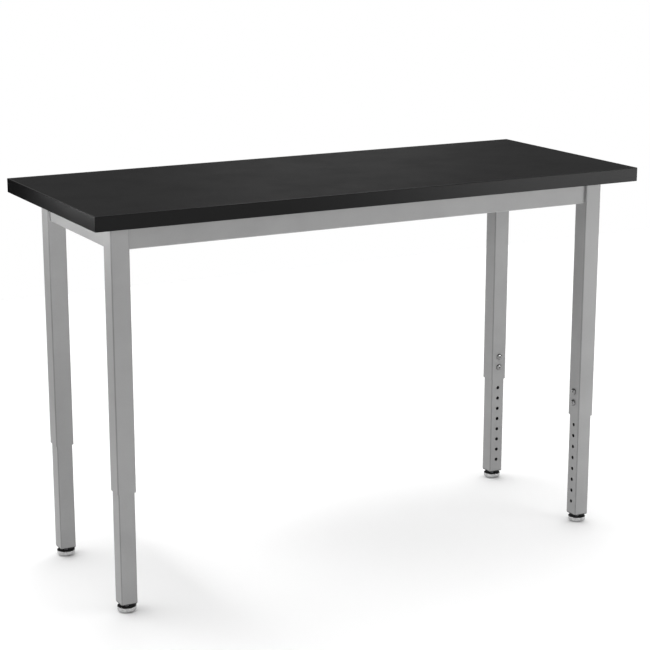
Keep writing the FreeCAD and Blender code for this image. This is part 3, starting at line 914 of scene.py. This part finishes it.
class LABTABLE_OT_glides(bpy.types.Operator):
    """Make the threaded stems of the glides and finish their cups, cushions, nuts and inserts"""

    bl_idname = "labtable.glides"
    bl_label = "Make Glides"

    def execute(self, context):
        own = sizes()
        low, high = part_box("glide_stem_front_right")
        root = own.stem_thread * STEM_ROOT
        shoulder = low.z + own.stem_flange
        flange = (high.x - low.x) / 2
        stem = cylinder(flange, low.z, shoulder)
        bpy.ops.object.mode_set(mode="EDIT")
        pick(stem, "edges", lambda edge: level(edge, shoulder) or level(edge, low.z))
        bpy.ops.mesh.bevel(offset=FLANGE_EASE, segments=3, affect="EDGES")
        pick(stem, "faces", lambda face: face.normal.z > UPRIGHT and level(face, shoulder))
        bpy.ops.mesh.inset(thickness=flange - FLANGE_EASE - root, use_even_offset=True)
        shank = high.z - shoulder - STEM_TIP
        bpy.ops.mesh.extrude_region_move(TRANSFORM_OT_translate={"value": (0, 0, shank)})
        bpy.ops.mesh.extrude_region_move(TRANSFORM_OT_translate={"value": (0, 0, STEM_TIP)})
        bpy.ops.transform.resize(value=(STEM_TIP_WIDTH, STEM_TIP_WIDTH, 1.0))
        bpy.ops.object.mode_set(mode="OBJECT")
        tidy_shell(stem)
        ridge = thread_ridge(root, own.stem_thread / 2, own.stem_pitch, shoulder, high.z - STEM_TIP)
        template = join("stem", [stem, ridge])
        for corner in CORNERS:
            node = "glide_stem_" + corner
            start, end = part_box(node)
            axis = Vector(((start.x + end.x) / 2, (start.y + end.y) / 2, 0.0))
            copy = join("threaded_stem_" + corner, [copy_to(template, Matrix.Translation(axis))])
            settle(copy, "stem_" + corner, "zinc_steel", zinc(), node)
            dress(chrome(), "glide_cup_" + corner)
            dress(rubber(), "glide_cushion_" + corner)
            dress(nylon(), "leg_insert_" + corner)
            dress(zinc(), "insert_nut_" + corner)
        discard(template)
        return {"FINISHED"}


class LABTABLE_OT_stage(bpy.types.Operator):
    """Set the floor, the light and the camera"""

    bl_idname = "labtable.stage"
    bl_label = "Set Stage"

    def execute(self, context):
        light = studio()
        deselect()
        middle = (FLOOR_LEFT + FLOOR_SIZE / 2, FLOOR_BACK - FLOOR_SIZE / 2, 0)
        bpy.ops.mesh.primitive_plane_add(size=FLOOR_SIZE, location=middle)
        floor = bpy.context.object
        floor.name = "studio_floor"
        floor.data.materials.append(made_once("studio_floor", floor_finish))
        self.add_light("SUN", "overhead", light.overhead, OVERHEAD_FROM, (0, 0, 0), angle=OVERHEAD_ANGLE)
        for name, (place, target, width, height) in PANELS.items():
            self.add_light("AREA", name, getattr(light, name), place, target,
                           shape="RECTANGLE", size=width, size_y=height)
        self.add_surround(context, light.surround)
        context.scene.view_settings.view_transform = "Standard"
        self.add_camera(context)
        return {"FINISHED"}

    def add_surround(self, context, strength):
        """Even light from above the floor's level, and a plain white backdrop that only the camera sees."""
        world = bpy.data.worlds.new("studio")
        context.scene.world = world
        world.use_nodes = True
        tree = world.node_tree
        around = tree.nodes["Background"]
        backdrop = tree.nodes.new("ShaderNodeBackground")
        for node in (around, backdrop):
            node.inputs["Color"].default_value = (1.0, 1.0, 1.0, 1.0)
        backdrop.inputs["Strength"].default_value = BACKDROP
        way = tree.nodes.new("ShaderNodeSeparateXYZ")
        tree.links.new(tree.nodes.new("ShaderNodeTexCoord").outputs["Generated"], way.inputs["Vector"])
        above = map_node(tree, way.outputs["Z"], -HORIZON_FADE, 0.0, 0.0, strength)
        tree.links.new(above, around.inputs["Strength"])
        both = tree.nodes.new("ShaderNodeMixShader")
        seen = tree.nodes.new("ShaderNodeLightPath").outputs["Is Camera Ray"]
        tree.links.new(seen, both.inputs["Fac"])
        tree.links.new(around.outputs["Background"], both.inputs[1])
        tree.links.new(backdrop.outputs["Background"], both.inputs[2])
        tree.links.new(both.outputs["Shader"], tree.nodes["World Output"].inputs["Surface"])

    def add_light(self, kind, name, strength, place, target, **settings):
        """A light that the camera doesn't see, aimed at a target."""
        lamp = bpy.data.lights.new(name, kind)
        lamp.energy = strength
        for setting, value in settings.items():
            setattr(lamp, setting, value)
        item = bpy.data.objects.new(name, lamp)
        item.visible_camera = False
        item.visible_glossy = kind != "SUN"
        item.location = place
        item.rotation_euler = (Vector(target) - Vector(place)).to_track_quat("-Z", "Y").to_euler()
        bpy.context.scene.collection.objects.link(item)

    def add_camera(self, context):
        """The view from the front left, a little above."""
        view = bpy.data.cameras.new("photo_view")
        view.sensor_width = CAMERA_SENSOR
        view.lens = CAMERA_LENS
        view.clip_end = CAMERA_REACH
        camera = bpy.data.objects.new("photo_view", view)
        camera.location = CAMERA_PLACE
        camera.rotation_euler = CAMERA_TURN
        context.scene.collection.objects.link(camera)
        context.scene.camera = camera


class LABTABLE_PT_panel(bpy.types.Panel):
    """The table's steps, sizes, colours and light"""

    bl_label = "Lab Table"
    bl_idname = "LABTABLE_PT_panel"
    bl_space_type = "VIEW_3D"
    bl_region_type = "UI"
    bl_category = "Lab Table"

    def draw(self, context):
        column = self.layout.column()
        for step in STEPS:
            column.operator(step.bl_idname)
        for group in (context.scene.lab_table_sizes, context.scene.lab_table_colours,
                      context.scene.lab_table_studio):
            box = self.layout.box()
            for name in group.bl_rna.properties.keys():
                if name not in ("rna_type", "name"):
                    box.prop(group, name)


STEPS = (LABTABLE_OT_top, LABTABLE_OT_frame, LABTABLE_OT_welds, LABTABLE_OT_leg_screws,
         LABTABLE_OT_top_screws, LABTABLE_OT_glides, LABTABLE_OT_stage)
CLASSES = (LabTableSizes, LabTableColours, LabTableStudio) + STEPS + (LABTABLE_PT_panel,)


def register():
    for item in CLASSES:
        bpy.utils.register_class(item)
    bpy.types.Scene.lab_table_sizes = PointerProperty(type=LabTableSizes)
    bpy.types.Scene.lab_table_colours = PointerProperty(type=LabTableColours)
    bpy.types.Scene.lab_table_studio = PointerProperty(type=LabTableStudio)


def unregister():
    del bpy.types.Scene.lab_table_studio
    del bpy.types.Scene.lab_table_colours
    del bpy.types.Scene.lab_table_sizes
    for item in reversed(CLASSES):
        bpy.utils.unregister_class(item)


def main():
    register()
    bpy.ops.labtable.top()
    bpy.ops.labtable.frame()
    bpy.ops.labtable.welds()
    bpy.ops.labtable.leg_screws()
    bpy.ops.labtable.top_screws()
    bpy.ops.labtable.glides()
    bpy.ops.labtable.stage()


if __name__ == "__main__":
    main()
